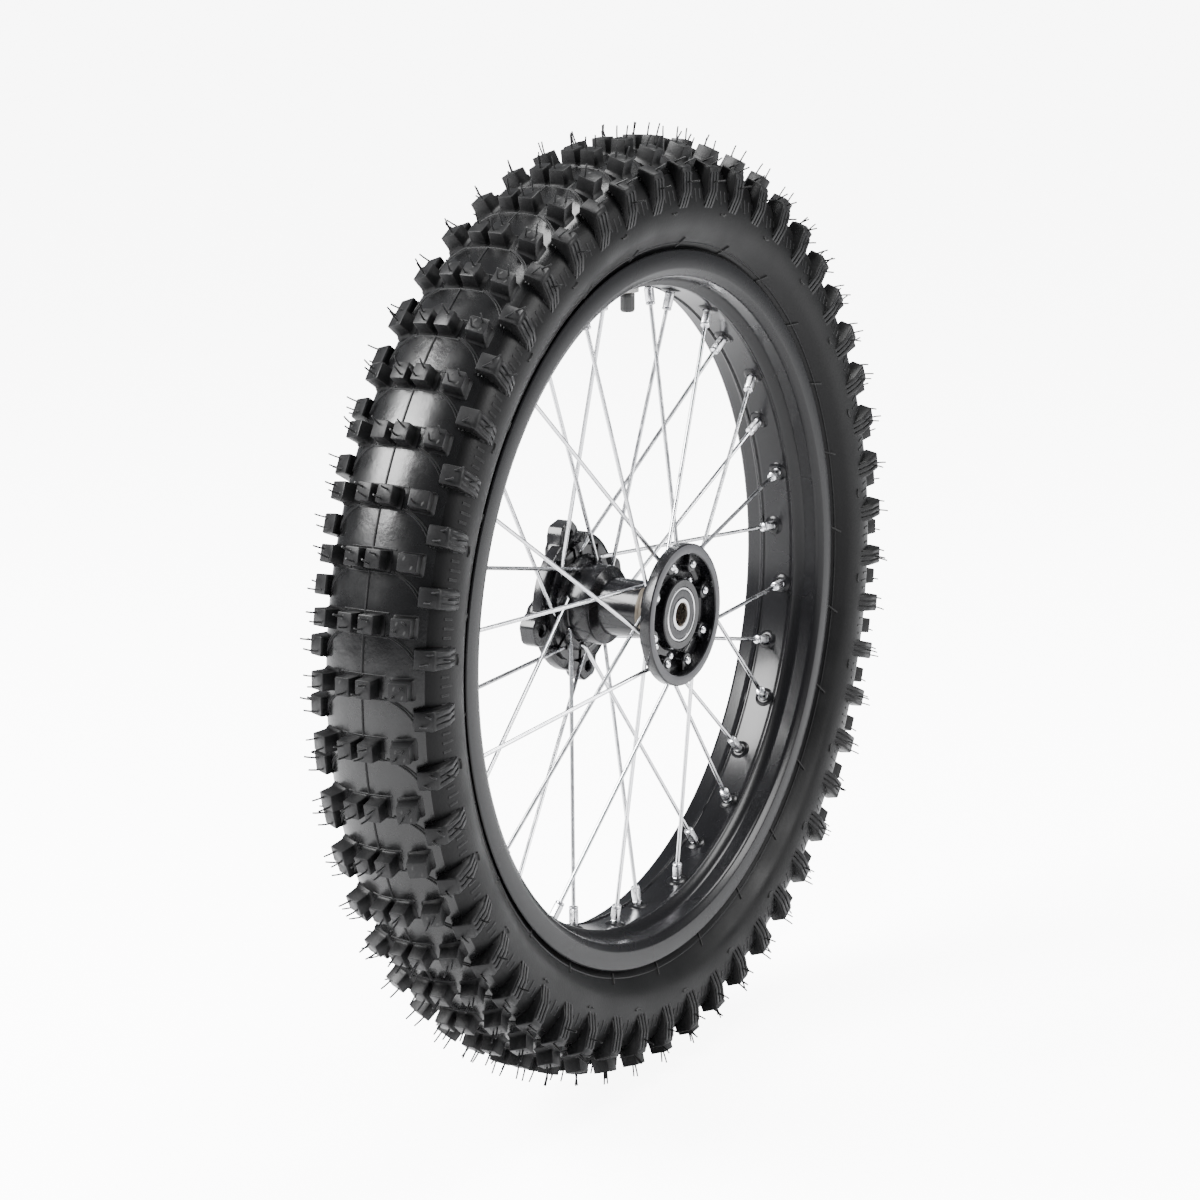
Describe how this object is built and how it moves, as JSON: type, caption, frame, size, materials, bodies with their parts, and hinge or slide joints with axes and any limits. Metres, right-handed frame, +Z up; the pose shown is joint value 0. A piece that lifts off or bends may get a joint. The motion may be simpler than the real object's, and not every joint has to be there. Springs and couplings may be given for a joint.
{
  "type": "spoked wheel",
  "caption": "Front motorcycle wheel: wire spokes join a cast hub with disc lugs to a steel rim carrying a knobby tyre and tube valve.",
  "frame": {"origin": "centre of the wheel, on the axle line midway between the rim lips", "axes": "+Y along the axle towards the disc side, +Z up towards the valve, +X forward or back in the wheel's plane"},
  "size_m": [0.599, 0.0906, 0.5988],
  "materials": {
    "rim_black": "satin black enamel",
    "tyre_rubber": "satin moulded rubber",
    "tube_rubber": "matt",
    "brass": "machined",
    "cap_plastic": "satin",
    "hub_black": "gloss black over cast metal",
    "spacer_steel": "drawn tube, lightly stained",
    "bearing_steel": "ground",
    "seal_rubber": "matt",
    "cage_steel": "pressed",
    "spoke_steel": "bright zinc"
  },
  "bodies": {
    "axle_set": {"near_bearing_inner_race": "bearing_steel", "far_bearing_inner_race": "bearing_steel", "spacer_tube": "spacer_steel"},
    "wheel": {"rim": "rim_black", "tyre": "tyre_rubber", "inner_tube": "tube_rubber", "rim_band": "tube_rubber", "valve_stem": "brass", "valve_core": "brass", "valve_nut": "brass", "hub_shell": "hub_black", "near_bearing_outer_race": "bearing_steel", "near_bearing_outer_seal": "seal_rubber", "near_bearing_inner_seal": "seal_rubber", "far_bearing_outer_race": "bearing_steel", "far_bearing_outer_seal": "seal_rubber", "far_bearing_inner_seal": "seal_rubber", "spoke_01": "spoke_steel", "spoke_02": "spoke_steel", "spoke_03": "spoke_steel", "spoke_04": "spoke_steel", "spoke_05": "spoke_steel", "spoke_06": "spoke_steel", "spoke_07": "spoke_steel", "spoke_08": "spoke_steel", "spoke_09": "spoke_steel", "spoke_10": "spoke_steel", "spoke_11": "spoke_steel", "spoke_12": "spoke_steel", "spoke_13": "spoke_steel", "spoke_14": "spoke_steel", "spoke_15": "spoke_steel", "spoke_16": "spoke_steel", "spoke_17": "spoke_steel", "spoke_18": "spoke_steel", "spoke_19": "spoke_steel", "spoke_20": "spoke_steel", "spoke_21": "spoke_steel", "spoke_22": "spoke_steel", "spoke_23": "spoke_steel", "spoke_24": "spoke_steel", "spoke_25": "spoke_steel", "spoke_26": "spoke_steel", "spoke_27": "spoke_steel", "spoke_28": "spoke_steel", "spoke_29": "spoke_steel", "spoke_30": "spoke_steel", "spoke_31": "spoke_steel", "spoke_32": "spoke_steel"},
    "near_cage": {"near_bearing_ball_cage": "cage_steel"},
    "far_cage": {"far_bearing_ball_cage": "cage_steel"},
    "cap": {"valve_cap": "cap_plastic"}
  },
  "joints": [
    {"name": "wheel_spin", "type": "hinge", "parent": "axle_set", "child": "wheel", "pos_m": [0, 0, 0], "axis": [0, 1, 0], "continuous": true},
    {"name": "near_cage_spin", "type": "hinge", "parent": "axle_set", "child": "near_cage", "pos_m": [0, 0, 0], "axis": [0, 1, 0], "continuous": true},
    {"name": "far_cage_spin", "type": "hinge", "parent": "axle_set", "child": "far_cage", "pos_m": [0, 0, 0], "axis": [0, 1, 0], "continuous": true},
    {"name": "valve_cap_lift", "type": "slide", "parent": "wheel", "child": "cap", "axis": [0, 0, -1], "range_m": [0, 0.014]}
  ],
  "couplings": [
    {"joint": "near_cage_spin", "follows": "wheel_spin", "ratio": 0.6188},
    {"joint": "far_cage_spin", "follows": "wheel_spin", "ratio": 0.6188}
  ]
}
